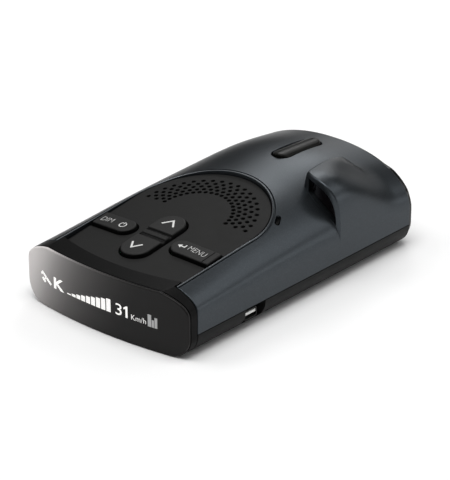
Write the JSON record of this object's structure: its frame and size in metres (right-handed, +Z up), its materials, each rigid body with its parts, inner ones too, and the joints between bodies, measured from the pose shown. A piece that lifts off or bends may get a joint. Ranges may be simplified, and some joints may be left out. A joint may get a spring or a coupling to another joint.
{
  "type": "radar detector",
  "caption": "Windscreen radar and laser detector: bowed display face, sunken keypad with rocker and two keys, speaker grille, shoulder laser sensor, bracket socket with release button.",
  "frame": {"origin": "on the underside, below the middle of the case", "axes": "+X to the driver's right, -Y towards the driver (display face), +Y towards the windscreen, +Z up"},
  "size_m": [0.068, 0.1168, 0.0348],
  "materials": {
    "case_paint": "satin metallic dark blue-grey paint on moulded plastic",
    "case_black": "fine-textured black moulding",
    "keypad_black": "matte soft-touch black",
    "key_black": "matte soft-touch black with grey legends",
    "gloss_black": "polished black",
    "window_tint": "dark tinted acrylic",
    "spring_steel": "bright spring wire",
    "circuit_board": "green solder mask",
    "switch_steel": "tinned sheet steel",
    "cone_paper": "black pressed paper",
    "cast_metal": "as-cast alloy",
    "patch_ceramic": "fired ceramic with a silvered face",
    "connector_steel": "nickel-plated sheet steel",
    "screw_steel": "black-zinc plated"
  },
  "bodies": {
    "housing": {"upper_shell": "case_paint", "lower_shell": "case_black", "keypad_panel": "keypad_black", "front_bezel": "gloss_black", "display_window": "window_tint", "end_cap": "gloss_black", "bracket_socket": "case_black", "latch_spring_left": "spring_steel", "latch_spring_right": "spring_steel", "rear_laser_window": "window_tint", "light_sensor_window": "window_tint", "main_board": "circuit_board", "keypad_board": "circuit_board", "display_board": "circuit_board", "display_module": "window_tint", "switch_power": "switch_steel", "switch_menu": "switch_steel", "switch_up": "switch_steel", "switch_down": "switch_steel", "speaker_frame": "switch_steel", "speaker_cone": "cone_paper", "speaker_magnet": "cast_metal", "horn_antenna": "cast_metal", "rf_shield": "switch_steel", "gps_patch": "patch_ceramic", "processor": "case_black", "backup_cell": "switch_steel", "usb_shell": "connector_steel", "usb_tongue": "case_black", "rear_sensor": "window_tint", "front_sensor": "window_tint", "front_lens": "window_tint", "case_screw_1": "screw_steel", "case_screw_2": "screw_steel", "case_screw_3": "screw_steel", "case_screw_4": "screw_steel"},
    "power_key": {"power_button": "key_black"},
    "menu_key": {"menu_button": "key_black"},
    "rocker": {"rocker_key": "key_black"},
    "release": {"release_button": "gloss_black", "release_latch": "case_black"}
  },
  "joints": [
    {"name": "power_press", "type": "slide", "parent": "housing", "child": "power_key", "axis": [0, 0.1363, -0.9907], "range_m": [0, 0.0005], "stiffness_N_per_m": 1600},
    {"name": "menu_press", "type": "slide", "parent": "housing", "child": "menu_key", "axis": [0, 0.1363, -0.9907], "range_m": [0, 0.0005], "stiffness_N_per_m": 1600},
    {"name": "rocker_tilt", "type": "hinge", "parent": "housing", "child": "rocker", "pos_m": [0, -0.0328, 0.02181], "axis": [1, 0, 0], "range_deg": [-2.5, 2.5], "stiffness_Nm_per_rad": 0.3},
    {"name": "release_press", "type": "slide", "parent": "housing", "child": "release", "axis": [0, 0, -1], "range_m": [0, 0.0011], "stiffness_N_per_m": 2000, "deforming": ["latch_spring_left", "latch_spring_right"]}
  ]
}
